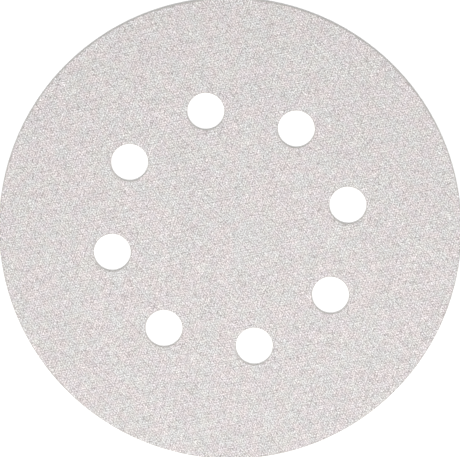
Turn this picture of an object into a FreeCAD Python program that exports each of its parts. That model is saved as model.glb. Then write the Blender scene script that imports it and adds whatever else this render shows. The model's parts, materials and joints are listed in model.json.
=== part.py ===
import FreeCAD
import Part

import math
import os

# A round hook-and-loop sanding disc for a random orbital sander. It is die-cut in one
# stroke from two webs that are bonded face to face: a paper sheet coated with abrasive
# grain, and a loop fabric that grips the hooks of the sander's pad. Dust is drawn up
# through a circle of round holes.
# The origin is the centre of the disc on the tips of the loops, where it rests, and +Z
# points out of the grain face. Lengths are in millimetres and angles in degrees.

# The die: outer edge and dust holes
DISC_DIAMETER = 125.0
DUST_HOLE_DIAMETER = 10.0
DUST_HOLE_CIRCLE_DIAMETER = 65.0
DUST_HOLE_COUNT = 8
FIRST_DUST_HOLE_ANGLE = 0.0

# The layers, from the tips of the loops up to the tips of the grain
LOOP_PILE_HEIGHT = 0.40
LOOP_GROUND_THICKNESS = 0.15
PAPER_THICKNESS = 0.30
GRAIN_COAT_THICKNESS = 0.25

# What the die does to the two outer faces along every cut: it chips the brittle grain
# coat back to a small bevel, and the springy pile splays out to a softer one
GRAIN_RIM_BEVEL = 0.15
PILE_RIM_BEVEL = 0.25

# How far the hole punches run on past the layer that they cut
PUNCH_OVERRUN = 1.0

# Heights of the three faces that the layers share
PILE_TIP_Z = 0.0
BOND_Z = PILE_TIP_Z + LOOP_PILE_HEIGHT + LOOP_GROUND_THICKNESS
GRAIN_TIP_Z = BOND_Z + PAPER_THICKNESS + GRAIN_COAT_THICKNESS

# Which side of a cut wall the material lies on, as a sign along the radius
TOWARDS_AXIS = -1
AWAY_FROM_AXIS = 1

PARTS_FOLDER = "parts"


def at(radius, z):
    """Point of a half-section, in the plane through the axis of revolution."""
    return FreeCAD.Vector(radius, 0, z)


def turned(corners):
    """Solid turned about Z from the corners of its closed half-section."""
    half_section = Part.Face(Part.makePolygon(corners + corners[:1]))
    return half_section.revolve(at(0, 0), FreeCAD.Vector(0, 0, 1), 360)


def bevelled_edge(wall_radius, face_z, bevel, material_side, facing):
    """Corners that take a cut wall over into the outer face at face_z.

    The first is on the wall and the second is on the face. The face looks up where facing
    is 1 and down where it is -1.
    """
    on_wall = at(wall_radius, face_z - facing * bevel)
    on_face = at(wall_radius + material_side * bevel, face_z)
    return [on_wall, on_face]


def layer_blank(back_z, face_z, bevel, facing):
    """Round layer with a square edge at the bond and a bevelled one at its outer face."""
    edge_radius = DISC_DIAMETER / 2
    edge = bevelled_edge(edge_radius, face_z, bevel, TOWARDS_AXIS, facing)
    return turned([at(0, back_z), at(edge_radius, back_z)] + edge + [at(0, face_z)])


def hole_punch(back_z, face_z, bevel, facing):
    """Tool that cuts one dust hole and flares its mouth to the bevelled rim."""
    hole_radius = DUST_HOLE_DIAMETER / 2
    start_z = back_z - facing * PUNCH_OVERRUN
    end_z = face_z + facing * PUNCH_OVERRUN
    mouth = bevelled_edge(hole_radius, face_z, bevel, AWAY_FROM_AXIS, facing)
    shank = [at(0, start_z), at(hole_radius, start_z)]
    head = [at(hole_radius + bevel, end_z), at(0, end_z)]
    return turned(shank + mouth + head)


def dust_hole_centres():
    """Centres of the dust holes, evenly spaced on their circle."""
    circle_radius = DUST_HOLE_CIRCLE_DIAMETER / 2
    for index in range(DUST_HOLE_COUNT):
        angle = math.radians(FIRST_DUST_HOLE_ANGLE + index * 360 / DUST_HOLE_COUNT)
        yield FreeCAD.Vector(circle_radius * math.cos(angle), circle_radius * math.sin(angle), 0)


def die_cut_layer(back_z, face_z, rim_bevel):
    """One layer of the laminate, cut to the die's outline and punched with its dust holes."""
    facing = 1 if face_z > back_z else -1
    bevel = min(rim_bevel, abs(face_z - back_z) / 2)
    punch = hole_punch(back_z, face_z, bevel, facing)
    punches = [punch.translated(centre) for centre in dust_hole_centres()]
    return layer_blank(back_z, face_z, bevel, facing).cut(punches)


def abrasive_sheet():
    """Paper with its coat of abrasive grain, bonded to the loop fabric at its underside."""
    return die_cut_layer(BOND_Z, GRAIN_TIP_Z, GRAIN_RIM_BEVEL)


def loop_backing():
    """Knitted loop fabric, with its pile hanging down from the bond."""
    return die_cut_layer(BOND_Z, PILE_TIP_Z, PILE_RIM_BEVEL)


def main():
    """Build each sub-part and write it to its own file."""
    os.makedirs(PARTS_FOLDER, exist_ok=True)
    for node, build in (("abrasive_sheet", abrasive_sheet), ("loop_backing", loop_backing)):
        shape = build()
        shape.Solids[0].exportStep(os.path.join(PARTS_FOLDER, node + ".step"))
        print(node, "solids", len(shape.Solids), "valid", shape.isValid(), "volume", shape.Volume)


main()
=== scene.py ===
"""Looks of a hook and loop sanding disc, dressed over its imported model.

The frame holds two plain webs, cut by one die. Here the abrasive sheet becomes a paper with a
bed of resin and crushed grains standing in it, and the backing becomes a matted knit with a
brushed pile of loops. Lengths are in metres, and +Z points out of the grain face.
"""

import json
import logging
import math
from dataclasses import dataclass, field, replace
from enum import Enum

import bmesh
import bpy
import numpy as np
from bmesh.types import BMEdge, BMesh, BMFace, BMVert
from bpy.types import Light, Material, Mesh, Node, NodeSocket, Object, World
from mathutils import Matrix, Vector
from numpy.random import Generator, default_rng


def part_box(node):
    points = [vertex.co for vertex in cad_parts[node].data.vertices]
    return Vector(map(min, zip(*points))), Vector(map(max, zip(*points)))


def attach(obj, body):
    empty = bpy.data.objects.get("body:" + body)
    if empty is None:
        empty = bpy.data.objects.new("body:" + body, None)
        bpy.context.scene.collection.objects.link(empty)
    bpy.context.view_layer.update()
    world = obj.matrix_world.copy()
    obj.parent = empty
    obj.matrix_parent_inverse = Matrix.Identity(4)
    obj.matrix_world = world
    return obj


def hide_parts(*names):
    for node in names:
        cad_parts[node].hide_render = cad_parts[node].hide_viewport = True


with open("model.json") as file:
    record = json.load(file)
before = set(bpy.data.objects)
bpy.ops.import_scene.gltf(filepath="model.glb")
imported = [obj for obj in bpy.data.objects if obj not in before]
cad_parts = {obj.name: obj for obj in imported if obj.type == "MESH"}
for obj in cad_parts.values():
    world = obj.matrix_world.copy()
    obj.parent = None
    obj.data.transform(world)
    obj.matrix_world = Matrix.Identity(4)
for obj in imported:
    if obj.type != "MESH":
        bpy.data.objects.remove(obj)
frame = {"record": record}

LOG = logging.getLogger("sanding_disc")

MM = 0.001
BODY = "root"
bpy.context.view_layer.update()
SHEET_NODE = "abrasive_sheet"
BACKING_NODE = "loop_backing"

# Attribute that keeps each face's tone, and the name of the flat map that each piece gets
TONE = "tone"
BAKE_MAP = "OFBake"

# Power that raises evenly spread numbers to tones: the higher it is, the rarer a dark one
RARITY = 5

# Indices of a web's materials: its outer face, and its cut walls and bond side
FACE = 0
WALL = 1

# Share of a cell that a web's grid keeps from its borders, so that no sliver lies between
BORDER_GAP = 0.6

# Least length that a vector is divided by, so that none is divided by 0
TINY = 1e-12

# How near each other two corners of a shape about 1 across are one corner
MERGE = 1e-4

# The flat map: how near a cut its wall is folded out, the margin round the disc, how far off
# the bond a corner may lie, and where the bond side is drawn and how large
FOLD_ZONE = 0.3 * MM
MAP_MARGIN = 1.0 * MM
BOND_TOLERANCE = 1e-6
BOND_SPOT = 0.07
BOND_SHARE = 0.12

Colour = tuple[float, float, float]
Extent = tuple[float, float]
Stretch = tuple[float, float, float]
Edges = list[BMEdge]


class Slot(Enum):
    """Material slots of the record, for the grain and for the loops."""

    GRAIN = "abrasive_sheet"
    LOOPS = "loop_fabric"


class Facing(Enum):
    """Which way a web's outer face looks, as a sign along Z."""

    UP = 1
    DOWN = -1


def places_of(mesh: Mesh) -> np.ndarray:
    """Read where a mesh's vertices are.

    Args:
        mesh: the mesh to read.

    Returns:
        One row of x, y and z for each vertex.
    """
    flat = np.empty(3 * len(mesh.vertices))
    mesh.vertices.foreach_get("co", flat)
    return flat.reshape(-1, 3)


def set_places(mesh: Mesh, places: np.ndarray) -> None:
    """Move a mesh's vertices to new places."""
    mesh.vertices.foreach_set("co", places.ravel())
    mesh.update()


def unit(vectors: np.ndarray) -> np.ndarray:
    """Scale each row to a length of 1."""
    return vectors / np.maximum(np.linalg.norm(vectors, axis=1, keepdims=True), TINY)


def towards(azimuth: float, elevation: float) -> Vector:
    """Turn a direction into a vector.

    Args:
        azimuth: its angle round from +X, in degrees.
        elevation: its angle up from level, in degrees.

    Returns:
        A unit vector.
    """
    turn, rise = math.radians(azimuth), math.radians(elevation)
    level = math.cos(rise)
    return Vector((level * math.cos(turn), level * math.sin(turn), math.sin(rise)))


@dataclass(frozen=True)
class DieCut:
    """The die that cuts both webs: a round outline and a circle of round dust holes.

    Args:
        disc_radius: radius of the outline.
        hole_radius: radius of each dust hole.
        hole_circle_radius: radius of the circle that the holes' centres lie on.
        hole_count: how many holes there are. The first lies on +X.
    """

    disc_radius: float
    hole_radius: float
    hole_circle_radius: float
    hole_count: int

    @classmethod
    def from_frame(cls, record: dict) -> "DieCut":
        """Read the die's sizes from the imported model.

        Args:
            record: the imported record, whose bolt pattern states the dust holes.

        Returns:
            The die that the CAD webs were cut with.
        """
        pattern = next(m for m in record["mounts"] if m["kind"] == "bolt_pattern")["dims"]
        _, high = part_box(SHEET_NODE)
        return cls(high.x, pattern["hole_r_mm"] * MM, pattern["pcd_mm"] / 2 * MM, pattern["count"])

    def hole_centres(self) -> np.ndarray:
        """Centres of the dust holes, one row of x and y each."""
        turns = np.arange(self.hole_count) * math.tau / self.hole_count
        return self.hole_circle_radius * np.stack([np.cos(turns), np.sin(turns)], 1)

    def area(self) -> float:
        """Flat area that the die cuts out."""
        return math.pi * (self.disc_radius**2 - self.hole_count * self.hole_radius**2)

    def rims(self, set_back: float) -> list[tuple[float, float, float]]:
        """Circles that stay back from the cuts, as x, y and radius, with the outline's first."""
        holes = [(x, y, self.hole_radius + set_back) for x, y in self.hole_centres()]
        return [(0.0, 0.0, self.disc_radius - set_back)] + holes

    def along_cuts(self, spacing: float, set_back: float) -> np.ndarray:
        """Pick places along every cut.

        Args:
            spacing: from one place to the next.
            set_back: how far the places stay back from the cuts.

        Returns:
            One row of x and y for each place.
        """
        rows = []
        for x, y, radius in self.rims(set_back):
            turns = np.arange(round(math.tau * radius / spacing)) * spacing / radius
            rows.append(np.stack([x + radius * np.cos(turns), y + radius * np.sin(turns)], 1))
        return np.concatenate(rows)

    def nearest_cut(self, places: np.ndarray) -> tuple[np.ndarray, np.ndarray]:
        """Find the cut that is nearest to each place.

        Args:
            places: one row of x, y and perhaps z for each place.

        Returns:
            How deep in the material each lies, below 0 where there is none, and a flat unit
            vector for each that points out past the outline or into the hole.
        """
        flat = places[:, :2]
        depth = self.disc_radius - np.linalg.norm(flat, axis=1)
        out = unit(flat)
        for centre in self.hole_centres():
            gap = np.linalg.norm(flat - centre, axis=1) - self.hole_radius
            out = np.where((gap < depth)[:, None], unit(centre - flat), out)
            depth = np.minimum(gap, depth)
        return depth, out

    def draw_back(self, places: np.ndarray, keep: float | np.ndarray) -> None:
        """Push places back into the material, so that all lie at least that deep in it."""
        depth, out = self.nearest_cut(places)
        places[:, :2] += out * np.minimum(depth - keep, 0)[:, None]

    def blank(self, cell: float, set_back: float) -> BMesh:
        """Lay out a flat web of even cells, whose borders run round the cuts.

        Args:
            cell: side of a cell.
            set_back: how far the borders stay back from the cuts.

        Returns:
            A new mesh in the plane z = 0.
        """
        bm = bmesh.new()
        across = 2 * math.ceil(self.disc_radius / cell)
        bmesh.ops.create_grid(bm, x_segments=across, y_segments=across, size=across * cell / 2)
        depth, _ = self.nearest_cut(np.array([v.co for v in bm.verts]))
        waste = [v for v, inside in zip(bm.verts, depth) if inside < set_back + BORDER_GAP * cell]
        bmesh.ops.delete(bm, geom=waste, context="VERTS")
        bmesh.ops.delete(bm, geom=[v for v in bm.verts if not v.link_faces], context="VERTS")
        for x, y, radius in self.rims(set_back):
            steps = round(math.tau * radius / cell)
            centre = Matrix.Translation((x, y, 0))
            bmesh.ops.create_circle(bm, segments=steps, radius=radius, matrix=centre)
        border = [e for e in bm.edges if len(e.link_faces) < 2]
        bmesh.ops.triangle_fill(bm, use_beauty=True, edges=border, normal=(0, 0, 1))
        return bm


@dataclass(frozen=True)
class RimStep:
    """One ring of a web's die-cut edge.

    Args:
        depth: how far inside the cut the ring lies.
        height: its height over the bond.
        raggedness: how far the cut may have torn it back or down.
        material: index of the material on the band that leads to it.
    """

    depth: float
    height: float
    raggedness: float
    material: int


@dataclass(frozen=True)
class Surface:
    """Outer face of a web, made of uneven cells.

    Args:
        cell: side of a cell.
        scatter: how far its corners leave their grid, as a share of it.
        relief: how far they rise and fall.
        tones: tones of the darkest and the palest cells, from 0, dark, to 1, light.
    """

    cell: float
    scatter: float
    relief: float
    tones: Extent


@dataclass
class Web:
    """A die-cut web: a face with relief, its torn rims, its cut walls and its flat bond side.

    Args:
        die: what the web is cut with.
        bond_z: height of the face that is bonded to the other web.
        facing: which way the outer face looks.
        surface: the outer face.
        random: where its random numbers come from.
    """

    die: DieCut
    bond_z: float
    facing: Facing
    surface: Surface
    random: Generator

    def build(self, name: str, rim: list[RimStep]) -> Mesh:
        """Build the web as one closed mesh.

        Args:
            name: the new mesh's name.
            rim: rings from the outer face's border to the bond, in order.

        Returns:
            The finished mesh, with its outer face in the first material.
        """
        scatter, relief = self.surface.scatter, self.surface.relief
        bm = self.die.blank(self.surface.cell, rim[0].depth)
        inner = [v for v in bm.verts if not v.is_boundary]
        moves = self.random.uniform(-scatter, scatter, (len(inner), 3)) * self.surface.cell
        moves[:, 2] = np.clip(self.random.normal(0, relief, len(inner)), -2 * relief, 2 * relief)
        for vertex, move in zip(inner, moves):
            vertex.co += Vector(move)
        bmesh.ops.triangulate(bm, faces=bm.faces, quad_method="SHORT_EDGE", ngon_method="BEAUTY")
        bmesh.ops.translate(bm, verts=bm.verts, vec=(0, 0, rim[0].height))
        ring = [e for e in bm.edges if e.is_boundary]
        for step in rim[1:]:
            ring = self.turn_down(bm, ring, step)
        bond_side = bmesh.ops.triangle_fill(bm, use_beauty=True, edges=ring, normal=(0, 0, -1))
        for part in bond_side["geom"]:
            if isinstance(part, BMFace):
                part.material_index = rim[-1].material
        bmesh.ops.scale(bm, verts=bm.verts, vec=(1, 1, self.facing.value))
        bmesh.ops.translate(bm, verts=bm.verts, vec=(0, 0, self.bond_z))
        bmesh.ops.triangulate(bm, faces=bm.faces)
        bmesh.ops.recalc_face_normals(bm, faces=bm.faces)
        mesh = bpy.data.meshes.new(name)
        bm.to_mesh(mesh)
        bm.free()
        set_tones(mesh, tones_of(self.surface.tones, self.random, len(mesh.polygons)))
        rim_z = self.bond_z + self.facing.value * rim[0].height
        add_bake_map(mesh, self.die, rim_z, self.bond_z)
        return mesh

    def turn_down(self, bm: BMesh, ring: Edges, step: RimStep) -> Edges:
        """Draw one more band of the edge out of the last ring.

        Args:
            bm: the web so far.
            ring: edges of the last ring, round every cut.
            step: where the new ring lies.

        Returns:
            The edges of the new ring.
        """
        drawn = bmesh.ops.extrude_edge_only(bm, edges=ring)["geom"]
        lower = [part for part in drawn if isinstance(part, BMVert)]
        places = np.array([v.co for v in lower])
        torn = self.random.uniform(0, step.raggedness, len(lower))
        depth, out = self.die.nearest_cut(places)
        shift = out * (depth - step.depth - torn)[:, None]
        for vertex, (x, y), tear in zip(lower, shift, torn):
            vertex.co += Vector((x, y, 0))
            vertex.co.z = step.height - tear
        for part in drawn:
            if isinstance(part, BMFace):
                part.material_index = step.material
        return [part for part in drawn if isinstance(part, BMEdge) and part.is_boundary]


def three_sided(wide: float, narrow: float, height: float) -> BMesh:
    """Build a small three-sided body about the origin.

    Args:
        wide: radius of its lower end.
        narrow: radius of its upper end, where 0 is a point.
        height: from end to end.

    Returns:
        A closed mesh of triangles.
    """
    bm = bmesh.new()
    bmesh.ops.create_cone(
        bm, segments=3, radius1=wide, radius2=narrow, depth=height, cap_ends=True
    )
    bmesh.ops.remove_doubles(bm, verts=bm.verts, dist=MERGE)
    bmesh.ops.triangulate(bm, faces=bm.faces)
    return bm


def repeated(bm: BMesh, count: int, name: str) -> Mesh:
    """Repeat one small shape many times in one mesh, all in the same place.

    Args:
        bm: the shape, which is used up.
        count: how many of it there will be.
        name: the new mesh's name.

    Returns:
        A mesh whose vertices come one shape after another.
    """
    one = bpy.data.meshes.new(name + ".one")
    bm.to_mesh(one)
    bm.free()
    stamp = bpy.data.objects.new(name, one)
    bpy.context.scene.collection.objects.link(stamp)
    copies = stamp.modifiers.new("Copies", "ARRAY")
    copies.count = count
    copies.use_relative_offset = False
    drawn = stamp.evaluated_get(bpy.context.evaluated_depsgraph_get())
    mesh = bpy.data.meshes.new_from_object(drawn)
    bpy.data.objects.remove(stamp)
    bpy.data.meshes.remove(one)
    mesh.name = name
    return mesh


def strewn(
    die: DieCut, spacing: float, stray: float, clear: float, random: Generator
) -> np.ndarray:
    """Pick places all over a web, in rows that lie like packed balls, each a little astray.

    Args:
        die: the die that bounds the web.
        spacing: from one place to the next in a row.
        stray: how far a place may leave its row, as a share of the spacing.
        clear: how far the places keep from the cuts.
        random: where the random numbers come from.

    Returns:
        One row of x and y for each place.
    """
    row_gap = spacing * math.sqrt(0.75)
    steps, rows = (math.ceil(die.disc_radius / gap) for gap in (spacing, row_gap))
    step, row = np.meshgrid(np.arange(-steps, steps + 1), np.arange(-rows, rows + 1))
    places = np.stack([(step + 0.5 * (row % 2)) * spacing, row * row_gap], -1).reshape(-1, 2)
    places = places + random.uniform(-stray, stray, places.shape) * spacing
    depth, _ = die.nearest_cut(places)
    return places[depth > clear]


def tones_of(extent: Extent, random: Generator, count: int) -> np.ndarray:
    """Pick tones, most of them pale and a few much darker.

    Args:
        extent: the darkest and the palest, from 0, dark, to 1, light. One below 0 is as dark.
        random: where the random numbers come from.
        count: how many tones.

    Returns:
        One tone each.
    """
    darkest, palest = extent
    return palest - (palest - darkest) * random.random(count) ** RARITY


def turned(axes: np.ndarray, angles: np.ndarray) -> np.ndarray:
    """Work out rotations by the angle-axis formula.

    Args:
        axes: one unit vector for each rotation.
        angles: one angle for each, in radians.

    Returns:
        One 3 by 3 matrix for each.
    """
    x, y, z = axes.T
    zero = np.zeros_like(x)
    cross = np.stack([zero, -z, y, z, zero, -x, -y, x, zero], 1).reshape(-1, 3, 3)
    sine, cosine = np.sin(angles)[:, None, None], np.cos(angles)[:, None, None]
    return np.eye(3) + sine * cross + (1 - cosine) * (cross @ cross)


def set_copies(mesh: Mesh, frames: np.ndarray, centres: np.ndarray, tones: np.ndarray) -> None:
    """Turn, stretch and place each copy in a repeated mesh, and give it a tone of its own.

    Args:
        mesh: a mesh of shapes that come one after another.
        frames: one 3 by 3 matrix for each copy.
        centres: one place for each copy.
        tones: one number for each copy, kept on its faces.
    """
    count = len(centres)
    corners = places_of(mesh).reshape(count, -1, 3)
    placed = np.einsum("nij,npj->npi", frames, corners) + centres[:, None]
    set_places(mesh, placed)
    set_tones(mesh, np.repeat(tones, len(mesh.polygons) // count))


def set_tones(mesh: Mesh, tones: np.ndarray) -> None:
    """Keep one number for each face, from 0, dark, to 1, light, for the materials to read."""
    kept = mesh.attributes.new(TONE, "FLOAT", "FACE")
    kept.data.foreach_set("value", tones.astype(np.float32))


def add_bake_map(mesh: Mesh, die: DieCut, rim_z: float, bond_z: float = math.inf) -> None:
    """Add a map that lays a web out flat.

    Its cut walls are folded outwards, and its bond side lies small in a corner that the disc
    leaves free.

    Args:
        mesh: the web, or shapes that lie all over it.
        die: the die that cut it.
        rim_z: height at which its walls begin.
        bond_z: height of its bond side, where it has one.
    """
    places = places_of(mesh)
    depth, out = die.nearest_cut(places)
    fold = np.where(depth < FOLD_ZONE, np.abs(places[:, 2] - rim_z), 0)
    flat = places[:, :2] + out * fold[:, None]
    spots = flat / (2 * (die.disc_radius + MAP_MARGIN))
    corners = np.empty(len(mesh.loops), dtype=np.int32)
    mesh.loops.foreach_get("vertex_index", corners)
    off_bond = np.abs(places[corners, 2] - bond_z).reshape(-1, 3).max(axis=1)
    on_bond = np.repeat(off_bond < BOND_TOLERANCE, 3)[:, None]
    small = BOND_SPOT + BOND_SHARE * spots[corners]
    spread = np.where(on_bond, small, 0.5 + spots[corners])
    layer = mesh.uv_layers.new(name=BAKE_MAP)
    layer.uv.foreach_set("vector", spread.astype(np.float32).ravel())


@dataclass(frozen=True)
class Pattern:
    """A noise pattern of a finish.

    Args:
        size: about how wide its patches are.
        detail: how many finer layers it has.
        stretch: how much it is squeezed along each axis.
        swirl: how much the patches are twisted into each other.
        edge: between which numbers of the noise one patch goes over into the next.
        onto: the numbers that the two patches get.
    """

    size: float
    detail: float = 2.0
    stretch: Stretch = (1, 1, 1)
    swirl: float = 0.0
    edge: Extent = (0.0, 1.0)
    onto: Extent = (0.0, 1.0)


class Shader:
    """A material's or a world's node tree, with short ways to add and join nodes."""

    def __init__(self, owner: Material | World) -> None:
        """Start with an empty tree.

        Args:
            owner: the material or world that the tree belongs to.
        """
        owner.use_nodes = True
        self.owner = owner
        self.tree = owner.node_tree
        self.tree.nodes.clear()

    @classmethod
    def of_material(cls, name: str) -> "Shader":
        """Start the tree of a new material of that name."""
        return cls(bpy.data.materials.new(name))

    def add(self, kind: str, sources: dict[int | str, object], **settings: object) -> Node:
        """Add a node and fill its sockets.

        Args:
            kind: its Blender type.
            sources: for each socket, another node's output or a plain value.
            settings: the node's own properties, by name.

        Returns:
            The new node.
        """
        made = self.tree.nodes.new(kind)
        for key, value in settings.items():
            setattr(made, key, value)
        for key, source in sources.items():
            socket = made.inputs[key]
            if isinstance(source, NodeSocket):
                self.tree.links.new(source, socket)
            else:
                socket.default_value = (*source, 1.0) if socket.type == "RGBA" else source
        return made

    def noise(self, pattern: Pattern) -> NodeSocket:
        """Add smooth noise.

        Args:
            pattern: its size and form.

        Returns:
            A number near 0.5 all over.
        """
        place = self.add("ShaderNodeTexCoord", {}).outputs["Object"]
        mapping = self.add("ShaderNodeMapping", {"Vector": place, "Scale": pattern.stretch})
        sources = {
            "Vector": mapping.outputs["Vector"],
            "Scale": 1 / pattern.size,
            "Detail": pattern.detail,
            "Distortion": pattern.swirl,
        }
        return self.add("ShaderNodeTexNoise", sources).outputs["Fac"]

    def patches(self, pattern: Pattern) -> NodeSocket:
        """Add smooth noise and part it into patches."""
        return self.spread(self.noise(pattern), pattern.edge, pattern.onto)

    def tone(self) -> NodeSocket:
        """Read the number that each face keeps."""
        return self.add("ShaderNodeAttribute", {}, attribute_name=TONE).outputs["Fac"]

    def spread(self, value: NodeSocket, edge: Extent, onto: Extent = (0.0, 1.0)) -> NodeSocket:
        """Stretch the numbers of one range over another, and hold those beyond it.

        Args:
            value: the numbers.
            edge: start and end of the range.
            onto: start and end of the new range.

        Returns:
            The new numbers.
        """
        names = ("Value", "From Min", "From Max", "To Min", "To Max")
        sources = dict(zip(names, (value, *edge, *onto)))
        return self.add("ShaderNodeMapRange", sources).outputs["Result"]

    def mixed(self, share: object, first: object, second: object) -> NodeSocket:
        """Mix two colours, with that share of the second."""
        # A mix node has sockets for every kind of value, and these are its share and its colours
        sources = {0: share, 6: first, 7: second}
        return self.add("ShaderNodeMix", sources, data_type="RGBA").outputs[2]

    def tinted(self, colour: NodeSocket, tint: NodeSocket) -> NodeSocket:
        """Multiply a colour by another, which may be over 1."""
        sources = {0: colour, 1: tint}
        return self.add("ShaderNodeVectorMath", sources, operation="MULTIPLY").outputs[0]

    def sums(self, operation: str, first: object, second: object) -> NodeSocket:
        """Work out one number from two, by a math node's operation."""
        sources = {0: first, 1: second}
        return self.add("ShaderNodeMath", sources, operation=operation).outputs[0]

    def seen(self) -> NodeSocket:
        """Tell the camera's rays, also those by mirrors and glass, from the rays of light."""
        path = self.add("ShaderNodeLightPath", {})
        seen = path.outputs["Is Camera Ray"]
        for ray in ("Is Glossy Ray", "Is Transmission Ray"):
            seen = self.sums("MAXIMUM", seen, path.outputs[ray])
        return seen

    def relief(self, height: NodeSocket, distance: float) -> NodeSocket:
        """Add a bump.

        Args:
            height: numbers that stand for the height.
            distance: the height of 1, in metres.

        Returns:
            The bumped normal.
        """
        sources = {"Height": height, "Distance": distance}
        return self.add("ShaderNodeBump", sources).outputs["Normal"]

    def finish(
        self,
        colour: NodeSocket,
        normal: NodeSocket,
        roughness: float,
        specular: float,
        sheen: float = 0.0,
    ) -> Material:
        """End the tree in one Principled shader.

        Args:
            colour: base colour.
            normal: the bumped normal.
            roughness: of the surface.
            specular: strength of its gloss.
            sheen: strength of its soft sheen.

        Returns:
            The finished material.
        """
        sources = {
            "Base Color": colour,
            "Normal": normal,
            "Roughness": roughness,
            "Specular IOR Level": specular,
            "Sheen Weight": sheen,
        }
        surface = self.add("ShaderNodeBsdfPrincipled", sources)
        self.add("ShaderNodeOutputMaterial", {"Surface": surface.outputs[0]})
        return self.owner


@dataclass(frozen=True)
class GritFinish:
    """Pale crushed grain under a chalky coat that keeps dust from clogging it.

    Args:
        pink: tint of the coat where it is thin.
        green: tint of the coat where it is thick.
        coat: patches of thin and thick coat.
        cream: tint of the grain of one batch.
        cool: tint of the grain of another.
        batches: patches of either grain.
        batch_share: share of the grain's tint against the coat's.
        resin: colour of the bare resin between the crystals, darkened as painted shade that falls
            between them.
        crest: shade of the palest crystals.
        chips: pattern of the chips in a crystal's faces.
        chip_height: how deep they are.
        roughness: of the chalky coat.
        specular: strength of its gloss.
    """

    pink: Colour = (0.870, 0.790, 0.810)
    green: Colour = (0.815, 0.825, 0.805)
    coat: Pattern = Pattern(3.4 * MM, detail=3.0, edge=(0.4, 0.6))
    cream: Colour = (0.860, 0.8125, 0.790)
    cool: Colour = (0.825, 0.8025, 0.820)
    batches: Pattern = Pattern(2.5 * MM, detail=3.0, edge=(0.4, 0.6))
    batch_share: float = 0.5
    # The resin colour is partly its own darker tone and partly painted shade between the crystals
    resin: Colour = (0.420, 0.398, 0.397)
    crest: Colour = (1.115, 1.137, 1.136)
    chips: Pattern = Pattern(0.09 * MM)
    chip_height: float = 0.01 * MM
    roughness: float = 0.4
    specular: float = 0.4

    def material(self) -> Material:
        """Make the material of the grain and of the resin bed."""
        shader = Shader.of_material("chalky_grit")
        coat = shader.mixed(shader.patches(self.coat), self.pink, self.green)
        grain = shader.mixed(shader.patches(self.batches), self.cream, self.cool)
        shade = shader.mixed(shader.tone(), self.resin, self.crest)
        colour = shader.tinted(shader.mixed(self.batch_share, coat, grain), shade)
        normal = shader.relief(shader.noise(self.chips), self.chip_height)
        return shader.finish(colour, normal, self.roughness, self.specular)


@dataclass(frozen=True)
class PaperFinish:
    """Cut edge of heavy kraft paper: fibres in flat layers, with resin soaked into some, darkened
    as painted shade on the cut walls.

    Args:
        pale: colour of clean fibres, darkened as painted shade.
        stained_and_shaded: colour of fibres that resin has soaked into, darkened further as
            painted shade.
        fibres: pattern of the fibres, from clean to resin-soaked.
        fuzz: how far they stand out.
        roughness: of the fibres.
        specular: strength of their gloss.
    """

    # Both colours are darker than clean kraft paper: they paint the shade along the cut walls
    pale: Colour = (0.72, 0.705, 0.68)
    stained_and_shaded: Colour = (0.48, 0.46, 0.42)
    fibres: Pattern = Pattern(0.5 * MM, detail=4.0, stretch=(1, 1, 12), edge=(0.35, 0.7))
    fuzz: float = 0.02 * MM
    roughness: float = 0.9
    specular: float = 0.2

    def material(self) -> Material:
        """Make the material of the paper's cut walls and bond side."""
        shader = Shader.of_material("kraft_paper_edge")
        fibres = shader.noise(self.fibres)
        stain = shader.spread(fibres, self.fibres.edge)
        colour = shader.mixed(stain, self.pale, self.stained_and_shaded)
        normal = shader.relief(fibres, self.fuzz)
        return shader.finish(colour, normal, self.roughness, self.specular)


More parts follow.
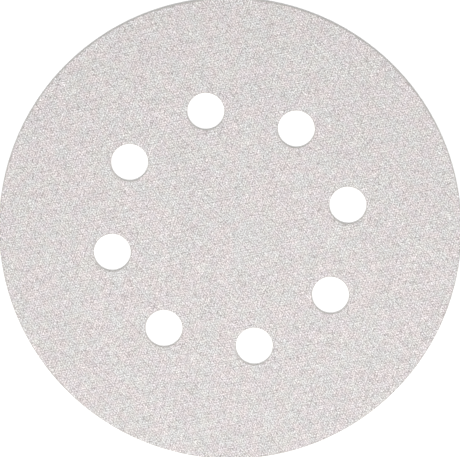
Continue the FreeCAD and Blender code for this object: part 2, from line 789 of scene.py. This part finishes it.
@dataclass(frozen=True)
class LoopFinish:
    """Off-white polyester yarn: soft, a little glossy along its filaments and uneven in tone.

    Args:
        light: colour of the lit yarn in the open.
        dark: painted shade of the yarn deep in the pile.
        uneven: patches of darker and lighter yarn.
        filaments: pattern of the filaments of a loop, drawn out along the nap.
        filament_height: how far they stand out of it.
        curls: pattern of the mat, in which filaments curl where it crosses its middle.
        curl_width: half width of such a filament, in numbers of the pattern.
        curl_shade_tones: painted shade between the filaments, and the tone on them.
        curl_height: how far the filaments stand out of the mat.
        finer: size of the deeper curls, as a share of the upper ones.
        deeper: height of the deeper curls, as a share of the upper ones', which also paints them
            darker as shade.
        roughness: of the yarn.
        sheen: strength of its soft sheen.
        specular: strength of its gloss.
    """

    light: Colour = (0.88, 0.87, 0.845)
    # Painted shade: yarn deep in the pile gets this darker colour
    dark: Colour = (0.52, 0.51, 0.49)
    uneven: Pattern = Pattern(4.0 * MM, edge=(0.3, 0.7), onto=(0.75, 1.0))
    filaments: Pattern = Pattern(
        0.06 * MM, detail=1.0, stretch=(1, 0.2, 1), edge=(0.35, 0.6), onto=(0.75, 1.0)
    )
    filament_height: float = 0.02 * MM
    curls: Pattern = Pattern(0.45 * MM, detail=1.0, stretch=(1, 0.6, 1), swirl=1.6)
    curl_width: float = 0.06
    # Painted shade between the filaments of the mat
    curl_shade_tones: Extent = (0.35, 1.6)
    curl_height: float = 0.035 * MM
    finer: float = 0.55
    deeper: float = 0.7
    roughness: float = 0.6
    sheen: float = 0.35
    specular: float = 0.35

    def yarn(self) -> Material:
        """Make the material of the single loops, with filaments along the nap."""
        shader = Shader.of_material("loop_yarn")
        strands = shader.noise(self.filaments)
        shade = shader.spread(strands, self.filaments.edge, self.filaments.onto)
        return self.finished(shader, shade, shader.relief(strands, self.filament_height))

    def matted(self) -> Material:
        """Make the material of the mat of fine curled filaments that the loops stand in, with
        painted shade between the filaments and on the deeper curls.
        """
        shader = Shader.of_material("matted_filaments")
        upper = self.curled(shader, self.curls)
        under = self.curled(shader, replace(self.curls, size=self.finer * self.curls.size))
        curls = shader.sums("MAXIMUM", upper, shader.sums("MULTIPLY", under, self.deeper))
        shade = shader.spread(curls, (0.0, 1.0), self.curl_shade_tones)
        return self.finished(shader, shade, shader.relief(curls, self.curl_height))

    def curled(self, shader: Shader, pattern: Pattern) -> NodeSocket:
        """Draw curled filaments where a pattern crosses its middle, from 0 beside them to 1."""
        off = shader.sums("SUBTRACT", shader.noise(pattern), 0.5)
        return shader.spread(shader.sums("ABSOLUTE", off, 0.0), (0.0, self.curl_width), (1.0, 0.0))

    def finished(self, shader: Shader, shade: NodeSocket, normal: NodeSocket) -> Material:
        """End a tree in the yarn's colour and softness.

        Args:
            shader: the tree.
            shade: what each face's tone is multiplied by.
            normal: the yarn's bumped normal.

        Returns:
            The finished material.
        """
        tone = shader.sums("MULTIPLY", shader.tone(), shade)
        tone = shader.sums("MULTIPLY", tone, shader.patches(self.uneven))
        colour = shader.mixed(tone, self.dark, self.light)
        return shader.finish(colour, normal, self.roughness, self.specular, self.sheen)


def wear(mesh: Mesh, finishes: list[Material]) -> Object:
    """Make a piece of a finished mesh: dress it, and let it ride on the disc.

    Args:
        mesh: the piece's mesh, in place.
        finishes: its materials, in the order of its faces' indices.

    Returns:
        The new piece, named as its mesh.
    """
    piece = bpy.data.objects.new(mesh.name, mesh)
    bpy.context.scene.collection.objects.link(piece)
    for finish in finishes:
        mesh.materials.append(finish)
    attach(piece, BODY)
    LOG.info("%s: %d triangles", piece.name, len(mesh.polygons))
    return piece


@dataclass(frozen=True)
class Grade:
    """One size of crushed grain.

    Args:
        name: the piece's name.
        blunt: width of each crystal's narrow end, as a share of its wide one.
        pitch: how far apart the crystals stand.
        stray: how far they leave their rows, as a share of the pitch.
        size: how wide and tall they are on the whole.
        lift: height of their middles over the resin.
        tones: the darkest and the palest of them, from 0, dark, to 1, light.
    """

    name: str
    blunt: float
    pitch: float
    stray: float
    size: float
    lift: float
    tones: Extent


@dataclass
class AbrasiveSheet:
    """Paper with a resin bed and the crushed grain that stands in it.

    Args:
        die: what it is cut with.
        paper: thickness of the paper.
        resin: depth of the resin on it.
        bed: the resin's face, whose dark tones are painted shade between the crystals.
        chipped: how far it is chipped back along the cuts.
        crystal_radius: of a crystal at its wide end, as a share of its size.
        crystal_height: of a crystal, as a share of its size.
        grain_squash: how flat the crystals lie, as a share of their height.
        grain_spread: how much they differ in size along each axis.
        grain_lift: how much their middles differ in height.
        grain_clear: how far their middles keep from the cuts.
        grain_trim: how far back from the cuts the die breaks them off.
        grades: the sizes of crushed grain.
        grit: finish of grain and resin.
        edge: finish of the paper.
    """

    die: DieCut
    paper: float = 0.30 * MM
    resin: float = 0.09 * MM
    # The bed's low tones darken the resin as painted shade between the crystals
    bed: Surface = Surface(0.48 * MM, 0.33, 0.035 * MM, (-0.1, 0.30))
    chipped: float = 0.18 * MM
    crystal_radius: float = 0.6
    crystal_height: float = 0.9
    grain_squash: float = 0.7
    grain_spread: float = 0.12
    grain_lift: float = 0.02 * MM
    grain_clear: float = 0.25 * MM
    grain_trim: float = 0.02 * MM
    grades: tuple[Grade, ...] = (
        Grade("grit_blocky", 0.55, 0.80 * MM, 0.12, 0.47 * MM, 0.02 * MM, (0.75, 0.98)),
        Grade("grit_sharp", 0.0, 0.60 * MM, 0.08, 0.50 * MM, 0.03 * MM, (0.75, 0.98)),
        Grade("grit_splinters", 0.0, 0.56 * MM, 0.25, 0.31 * MM, 0.06 * MM, (-0.1, 0.92)),
    )
    grit: GritFinish = field(default_factory=GritFinish)
    edge: PaperFinish = field(default_factory=PaperFinish)

    def build(self) -> None:
        """Build the coated paper and every grade of grain, and dress them."""
        low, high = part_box(SHEET_NODE)
        grit, edge = self.grit.material(), self.edge.material()
        paper = wear(self.coated_paper(low.z), [grit, edge])
        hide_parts(SHEET_NODE)
        bed_z = low.z + self.paper + self.resin
        for seed, grade in enumerate(self.grades):
            wear(self.grains(grade, bed_z, high.z, seed), [grit])

    def coated_paper(self, bond_z: float) -> Mesh:
        """Build the paper and the bed of resin on it.

        Args:
            bond_z: height of the paper's back.

        Returns:
            A closed mesh, with the resin in one material and bare paper in the other.
        """
        rim = [
            RimStep(self.chipped, self.paper + self.resin, 0.0, FACE),
            RimStep(0.03 * MM, self.paper + 0.5 * self.resin, 0.03 * MM, WALL),
            RimStep(0.0, self.paper, 0.015 * MM, WALL),
            RimStep(0.0, 0.45 * self.paper, 0.02 * MM, WALL),
            RimStep(0.0, 0.0, 0.0, WALL),
        ]
        web = Web(self.die, bond_z, Facing.UP, self.bed, default_rng(seed=5))
        return web.build("coated_paper", rim)

    def grains(self, grade: Grade, bed_z: float, tip_z: float, seed: int) -> Mesh:
        """Stand one grade of crystals in the resin, each turned its own way.

        Args:
            grade: the crystals' size and form.
            bed_z: height of the resin.
            tip_z: height that no tip passes.
            seed: start of the random numbers.

        Returns:
            One mesh of many closed crystals.
        """
        random = default_rng(seed)
        flat = strewn(self.die, grade.pitch, grade.stray, self.grain_clear, random)
        count = len(flat)
        wide = self.crystal_radius
        crystal = three_sided(wide, wide * grade.blunt, self.crystal_height)
        mesh = repeated(crystal, count, grade.name)
        axes = unit(random.normal(size=(count, 3)))
        spread = random.uniform(1 - self.grain_spread, 1 + self.grain_spread, (count, 1, 3))
        frames = turned(axes, random.uniform(0, math.tau, count)) * (spread * grade.size)
        frames[:, 2] *= self.grain_squash
        heights = bed_z + grade.lift + random.normal(0, self.grain_lift, count)
        middles = np.column_stack([flat, heights])
        set_copies(mesh, frames, middles, tones_of(grade.tones, random, count))
        places = places_of(mesh)
        self.die.draw_back(places, self.grain_trim)
        places[:, 2] = np.minimum(places[:, 2], tip_z)
        set_places(mesh, places)
        add_bake_map(mesh, self.die, bed_z)
        return mesh


@dataclass
class LoopBacking:
    """Knitted fabric bonded to the paper, with a brushed pile of loops that grip the pad's hooks.

    Args:
        die: what it is cut with.
        mat: face of the mat of fine filaments, whose low tones are painted shade deep under the
            loops.
        mat_face: its height over the loops' tips.
        splay: how far the pile draws back along the cuts.
        least_splay: how far the pile draws back at the bond, where it does least.
        loop_spacing: from one loop to the next.
        loop_stray: how far a loop leaves its row, as a share of the spacing.
        loop_clear: how far the feet keep from the cuts.
        loop_lift: how deep in the mat the feet may lie.
        loop_width: how wide the narrowest and the widest loops are.
        loop_reach: how long the shortest and the longest are, from foot to tip.
        loop_twist: how far a loop rolls about its own length, in radians.
        nap: direction that the pile is brushed in, in degrees from +X.
        tangle: how far the loops turn from the nap, in degrees.
        ribbon: width of a loop's bundle of filaments, as a share of the loop's width.
        yarn: thickness of the bundle.
        tip_height: height of its middle at a loop's tip, over what the disc rests on.
        yarn_sides: how many sides the bundle has.
        arch_steps: how many bends make the loop's arch.
        loop_tones: the darkest and palest loops.
        end_spacing: from one cut filament's end to the next, along the cuts.
        end_set_back: how far their feet stay back from the cuts.
        end_margins: how far their feet keep over the tips and under the bond.
        end_fan: how far they turn away from straight out, in radians.
        end_slopes: how steeply they point down and up.
        end_length: how long the shortest and the longest of them are.
        end_width: how thick the thinnest and the thickest of them are.
        finish: finish of the yarn.
    """

    die: DieCut
    # The mat's low tones paint the shade that lies deep in the pile under the loops
    mat: Surface = Surface(0.55 * MM, 0.3, 0.022 * MM, (0.2, 0.6))
    mat_face: float = 0.09 * MM
    splay: float = 0.22 * MM
    least_splay: float = 0.01 * MM
    loop_spacing: float = 1.48 * MM
    loop_stray: float = 0.14
    loop_clear: float = 0.25 * MM
    loop_lift: float = 0.05 * MM
    loop_width: Extent = (0.9425 * MM, 1.45 * MM)
    loop_reach: Extent = (1.38 * MM, 2.3 * MM)
    loop_twist: float = 0.1
    nap: float = 90.0
    tangle: float = 16.0
    ribbon: float = 0.22
    yarn: float = 0.10 * MM
    tip_height: float = 0.04 * MM
    yarn_sides: int = 3
    arch_steps: int = 5
    loop_tones: Extent = (0.5, 1.0)
    end_spacing: float = 0.045 * MM
    end_set_back: float = 0.15 * MM
    end_margins: Extent = (0.12 * MM, 0.02 * MM)
    end_fan: float = 0.7
    end_slopes: Extent = (-1.3, 0.3)
    end_length: Extent = (0.13 * MM, 0.26 * MM)
    end_width: Extent = (0.03 * MM, 0.05 * MM)
    finish: LoopFinish = field(default_factory=LoopFinish)

    def build(self) -> None:
        """Build the mat, the loops and the cut ends, and dress them."""
        low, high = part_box(BACKING_NODE)
        yarn = self.finish.yarn()
        mat = wear(self.knitted_mat(low.z, high.z), [self.finish.matted()])
        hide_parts(BACKING_NODE)
        pile = wear(self.pile(low.z), [yarn])
        ends = wear(self.cut_filaments(low.z, high.z), [yarn])
        self.die.area()

    def knitted_mat(self, tip_z: float, bond_z: float) -> Mesh:
        """Build the ground and the matted pile that the loops lie in.

        Args:
            tip_z: height of the loops' tips, where the disc rests.
            bond_z: height of the face that is bonded to the paper.

        Returns:
            A closed mesh that hangs down from the bond.
        """
        depth = bond_z - tip_z - self.mat_face
        rim = [
            RimStep(self.splay, depth, 0.0, FACE),
            RimStep(0.14 * MM, 0.85 * depth, 0.04 * MM, FACE),
            RimStep(0.10 * MM, 0.6 * depth, 0.04 * MM, FACE),
            RimStep(0.06 * MM, 0.2 * depth, 0.04 * MM, FACE),
            RimStep(0.01 * MM, 0.0, 0.0, FACE),
        ]
        web = Web(self.die, bond_z, Facing.DOWN, self.mat, default_rng(seed=11))
        mesh = web.build("loop_ground", rim)
        mesh.shade_smooth()
        return mesh

    def pile(self, tip_z: float) -> Mesh:
        """Lay a loop on every stitch of the mat, brushed along the nap.

        Args:
            tip_z: height of the loops' tips, where the disc rests.

        Returns:
            One mesh of many closed loops.
        """
        random = default_rng(seed=23)
        flat = strewn(self.die, self.loop_spacing, self.loop_stray, self.loop_clear, random)
        count = len(flat)
        heights = tip_z + self.mat_face + random.uniform(0.0, self.loop_lift, count)
        reach = random.uniform(*self.loop_reach, count)
        drop = (heights - tip_z - self.tip_height) / reach
        turn = np.radians(self.nap + random.normal(0, self.tangle, count))
        ways = np.column_stack([np.cos(turn), np.sin(turn), -drop])
        width = random.uniform(*self.loop_width, count)
        sizes = np.stack([width, np.full(count, self.yarn), reach], 1)
        twists = random.normal(0, self.loop_twist, count)
        feet = np.column_stack([flat, heights])
        return self.laid("loop_pile", self.arch(), feet, ways, twists, sizes, random)

    def cut_filaments(self, tip_z: float, bond_z: float) -> Mesh:
        """Stand short ends of filament out of the mat along every cut, as the die leaves them.

        Args:
            tip_z: height of the loops' tips, where the disc rests.
            bond_z: height of the face that is bonded to the paper.

        Returns:
            One mesh of many closed ends.
        """
        random = default_rng(seed=29)
        flat = self.die.along_cuts(self.end_spacing, self.end_set_back)
        count = len(flat)
        over_tips, under_bond = self.end_margins
        heights = random.uniform(tip_z + over_tips, bond_z - under_bond, count)
        fan = turned(np.tile([0.0, 0.0, 1.0], (count, 1)), random.normal(0, self.end_fan, count))
        _, out = self.die.nearest_cut(flat)
        ways = np.einsum("nij,nj->ni", fan, np.column_stack([out, np.zeros(count)]))
        ways[:, 2] = random.uniform(*self.end_slopes, count)
        width = random.uniform(*self.end_width, count)
        length = random.uniform(*self.end_length, count)
        sizes = np.stack([width, width, length], 1)
        twists = random.uniform(0, math.tau, count)
        feet = np.column_stack([flat, heights])
        spike = three_sided(0.5, 0.0, 1.0)
        bmesh.ops.translate(spike, verts=spike.verts, vec=(0, 0, 0.5))
        return self.laid("cut_filaments", spike, feet, ways, twists, sizes, random)

    def laid(
        self,
        name: str,
        shape: BMesh,
        feet: np.ndarray,
        ways: np.ndarray,
        twists: np.ndarray,
        sizes: np.ndarray,
        random: Generator,
    ) -> Mesh:
        """Repeat a small shape, inside what the die leaves of the fabric.

        Args:
            name: the new mesh's name.
            shape: the shape, 1 wide and 1 tall, with its foot on z = 0.
            feet: where each foot is.
            ways: which way each reaches.
            twists: how far each turns about its own way, in radians.
            sizes: width, thickness and length of each.
            random: where its tone comes from.

        Returns:
            The finished mesh.
        """
        ways = unit(ways)
        level = unit(np.cross(ways, [0.0, 0.0, 1.0]))
        across = np.cos(twists)[:, None] * level + np.sin(twists)[:, None] * np.cross(ways, level)
        frames = np.stack([across, np.cross(ways, across), ways], 2) * sizes[:, None, :]
        mesh = repeated(shape, len(feet), name)
        set_copies(mesh, frames, feet, tones_of(self.loop_tones, random, len(feet)))
        mesh.shade_smooth()
        self.trim(mesh)
        add_bake_map(mesh, self.die, self.mat_face)
        return mesh

    def arch(self) -> BMesh:
        """Build one loop: half a ring of flat yarn, 1 wide and 1 tall, with its feet on z = 0."""
        bm = bmesh.new()
        half = 0.5 * self.ribbon
        foot = bmesh.ops.create_circle(
            bm,
            segments=self.yarn_sides,
            radius=half,
            cap_ends=True,
            matrix=Matrix.Translation((0.5 - half, 0, 0)),
        )
        bmesh.ops.spin(
            bm,
            geom=foot["verts"][0].link_faces[:],
            cent=(0, 0, 0),
            axis=(0, 1, 0),
            angle=-math.pi,
            steps=self.arch_steps,
            use_duplicate=False,
        )
        bmesh.ops.triangulate(bm, faces=bm.faces)
        bmesh.ops.recalc_face_normals(bm, faces=bm.faces)
        bmesh.ops.scale(bm, verts=bm.verts, vec=(1, 0.5 / half, 2))
        return bm

    def trim(self, mesh: Mesh) -> None:
        """Draw a pile back from the cuts, as the splayed mat is, and up to the tips' height.

        Args:
            mesh: the pile, which is changed.
        """
        low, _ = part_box(BACKING_NODE)
        places = places_of(mesh)
        places[:, 2] = np.maximum(places[:, 2], low.z)
        keep = np.clip(self.splay - (places[:, 2] - low.z), self.least_splay, self.splay)
        self.die.draw_back(places, keep)
        set_places(mesh, places)


@dataclass(frozen=True)
class Studio:
    """Plain white floor and soft light, as round a disc photographed from above.

    Args:
        light_azimuth: where the lamps stand, in degrees from +X.
        light_elevation: how high the key light stands over the floor, in degrees.
        key: light of the key on a level surface, as a share of full light.
        key_softness: how wide it looks from the disc, in degrees.
        fill: light of the lamp near the disc, which falls off across it.
        fill_colour: tint of that lamp.
        fill_distance: from the disc's centre to it.
        fill_elevation: how high it stands, in degrees.
        fill_size: its width.
        sky: light from all round.
        backdrop_colour: tint of that light and of the backdrop.
        floor_side: side of the square floor.
        floor_colour: the floor's paint.
        floor_glow: how much lighter it shows to the camera.
    """

    light_azimuth: float = 263.0
    light_elevation: float = 70.0
    key: float = 0.515
    key_softness: float = 12.0
    fill: float = 0.27
    fill_colour: Colour = (1.0, 0.955, 0.94)
    fill_distance: float = 0.32
    fill_elevation: float = 76.0
    fill_size: float = 0.16
    sky: float = 0.26
    backdrop_colour: Colour = (1.0, 1.0, 1.0)
    floor_side: float = 6.0
    floor_colour: Colour = (0.88, 0.88, 0.88)
    floor_glow: float = 0.28

    def build(self) -> None:
        """Lay the floor and hang the lamps."""
        self.floor()
        self.lamps()
        self.backdrop()

    def floor(self) -> None:
        """Lay the floor that the disc rests on."""
        bm = bmesh.new()
        bmesh.ops.create_grid(bm, x_segments=1, y_segments=1, size=self.floor_side / 2)
        mesh = bpy.data.meshes.new("floor")
        bm.to_mesh(mesh)
        bm.free()
        floor = bpy.data.objects.new("floor", mesh)
        bpy.context.scene.collection.objects.link(floor)
        mesh.materials.append(self.floor_finish())

    def floor_finish(self) -> Material:
        """Make a white floor that shows a little lighter to the camera than it is."""
        shader = Shader.of_material("white_floor")
        painted = shader.add("ShaderNodeBsdfDiffuse", {"Color": self.floor_colour})
        strength = shader.sums("MULTIPLY", shader.seen(), self.floor_glow)
        glow = shader.add("ShaderNodeEmission", {"Strength": strength})
        both = shader.add("ShaderNodeAddShader", {0: painted.outputs[0], 1: glow.outputs[0]})
        shader.add("ShaderNodeOutputMaterial", {"Surface": both.outputs[0]})
        return shader.owner

    def lamps(self) -> None:
        """Hang the key light, and the lamp that lights the near side of the disc more."""
        key = bpy.data.lights.new("key_light", "SUN")
        key.energy = self.key * math.pi / math.sin(math.radians(self.light_elevation))
        key.angle = math.radians(self.key_softness)
        self.hang(key, towards(self.light_azimuth, self.light_elevation), 0.0)

        fill = bpy.data.lights.new("near_light", "AREA")
        fill.shape = "DISK"
        fill.size = self.fill_size
        fill.color = self.fill_colour
        way = towards(self.light_azimuth, self.fill_elevation)
        fill.energy = self.fill * math.pi**2 * self.fill_distance**2 / way.z
        self.hang(fill, way, self.fill_distance).visible_camera = False

    def hang(self, light: Light, way: Vector, distance: float) -> Object:
        """Hang a light in a direction from the disc, turned towards it.

        Args:
            light: the light.
            way: unit vector from the disc towards it.
            distance: how far off it hangs, which makes no difference to a sun.

        Returns:
            The lamp.
        """
        lamp = bpy.data.objects.new(light.name, light)
        lamp.location = way * distance
        lamp.rotation_euler = way.to_track_quat("Z", "Y").to_euler()
        bpy.context.scene.collection.objects.link(lamp)
        return lamp

    def backdrop(self) -> None:
        """Light the disc evenly from all round, before a backdrop that shows white."""
        shader = Shader(bpy.data.worlds.new("white_room"))
        bpy.context.scene.world = shader.owner
        strength = shader.spread(shader.seen(), (0.0, 1.0), (self.sky, 1.0))
        sources = {"Color": self.backdrop_colour, "Strength": strength}
        sky = shader.add("ShaderNodeBackground", sources)
        shader.add("ShaderNodeOutputWorld", {"Surface": sky.outputs[0]})


@dataclass(frozen=True)
class PhotoCamera:
    """Long lens almost straight over the disc, turned as the photographer stood.

    Args:
        image_width: width of the picture in pixels.
        image_height: its height in pixels.
        disc_centre_px: where the disc's centre lies in it, from the left and the top.
        disc_radius_px: the disc's radius in it, along the axis that isn't foreshortened.
        roll: angle of +X in the picture, in degrees.
        tilt: how far the view leaves the disc's axis, in degrees.
        tilt_picture_angle: angle in the picture towards which the camera stands.
        distance: how far off the camera stands, in metres.
        sensor: width of the sensor, in millimetres.
        farthest: how far the camera sees.
    """

    image_width: int = 460
    image_height: int = 457
    disc_centre_px: tuple[float, float] = (230.0, 229.0)
    disc_radius_px: float = 231.5
    roll: float = 11.63
    tilt: float = 6.6
    tilt_picture_angle: float = 66.0
    distance: float = 4.0
    sensor: float = 36.0
    farthest: float = 50.0

    def build(self, die: DieCut, face_z: float) -> None:
        """Set up the camera.

        Args:
            die: gives the disc's real radius.
            face_z: height of the face that is in view.
        """
        back = towards(self.tilt_picture_angle - self.roll, 90 - self.tilt)
        up = towards(90 - self.roll, 0)
        up = (up - up.dot(back) * back).normalized()
        right = up.cross(back)
        metre_per_px = die.disc_radius / self.disc_radius_px
        off_x = (self.image_width / 2 - self.disc_centre_px[0]) * metre_per_px
        off_y = (self.disc_centre_px[1] - self.image_height / 2) * metre_per_px
        aim = Vector((0, 0, face_z)) + right * off_x + up * off_y
        lens = bpy.data.cameras.new("photo_camera")
        lens.sensor_fit = "HORIZONTAL"
        lens.sensor_width = self.sensor
        lens.lens = self.sensor * self.distance / (self.image_width * metre_per_px)
        lens.clip_end = self.farthest
        camera = bpy.data.objects.new("photo_camera", lens)
        turn = Matrix((right, up, back)).transposed().to_4x4()
        camera.matrix_world = Matrix.Translation(aim + back * self.distance) @ turn
        bpy.context.scene.collection.objects.link(camera)
        bpy.context.scene.camera = camera


def main() -> None:
    """Build, dress and light the disc."""
    logging.basicConfig(level=logging.INFO, format="%(message)s")
    bpy.context.scene.view_settings.view_transform = "Standard"
    die = DieCut.from_frame(frame["record"])
    LOG.info("die cut: radius %.4f m, %d holes", die.disc_radius, die.hole_count)
    AbrasiveSheet(die).build()
    LoopBacking(die).build()
    Studio().build()
    PhotoCamera().build(die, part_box(SHEET_NODE)[1].z)


if __name__ == "__main__":
    main()
